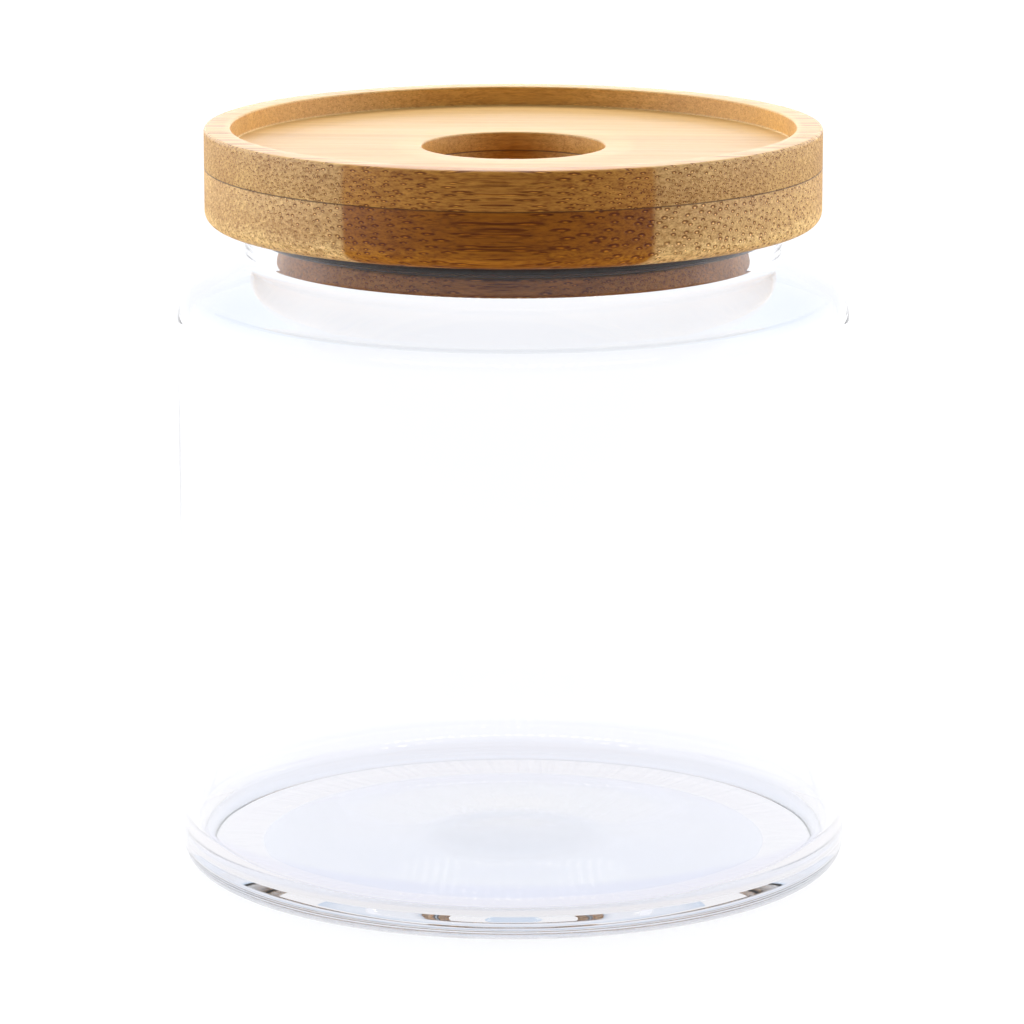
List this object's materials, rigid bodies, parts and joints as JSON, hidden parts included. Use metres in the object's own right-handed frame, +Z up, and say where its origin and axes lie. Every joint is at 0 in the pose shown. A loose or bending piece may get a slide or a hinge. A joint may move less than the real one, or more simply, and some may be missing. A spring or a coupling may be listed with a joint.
{
  "type": "food canister",
  "caption": "Round clear glass storage jar with a short neck and a plug-in laminated bamboo lid that has a stacking recess, a finger hole and a silicone seal.",
  "frame": {"origin": "centre of the circle that the jar stands on, at the bottom of the foot", "axes": "+Z up along the jar's own axis, out through the lid; -Y is the side the front view looks at, and the lid's grain runs along X at rest"},
  "size_m": [0.1, 0.1, 0.1114],
  "materials": {
    "clear_glass": "clear polished, faint blue in the base",
    "bamboo_upper": "matt oiled bamboo",
    "bamboo_lower": "matt oiled bamboo",
    "bamboo_plug": "matt oiled bamboo",
    "silicone_seal": "satin translucent silicone"
  },
  "bodies": {
    "jar": {"glass_jar": "clear_glass"},
    "seal": {"seal_ring": "silicone_seal"},
    "lid": {"lid_upper_board": "bamboo_upper", "lid_lower_board": "bamboo_lower", "lid_plug": "bamboo_plug"}
  },
  "joints": [
    {"name": "lid_lift", "type": "slide", "parent": "jar", "child": "seal", "axis": [0, 0, 1], "range_m": [0, 0.06]},
    {"name": "lid_turn", "type": "hinge", "parent": "seal", "child": "lid", "pos_m": [0, 0, 0.0957], "axis": [0, 0, 1], "continuous": true}
  ]
}
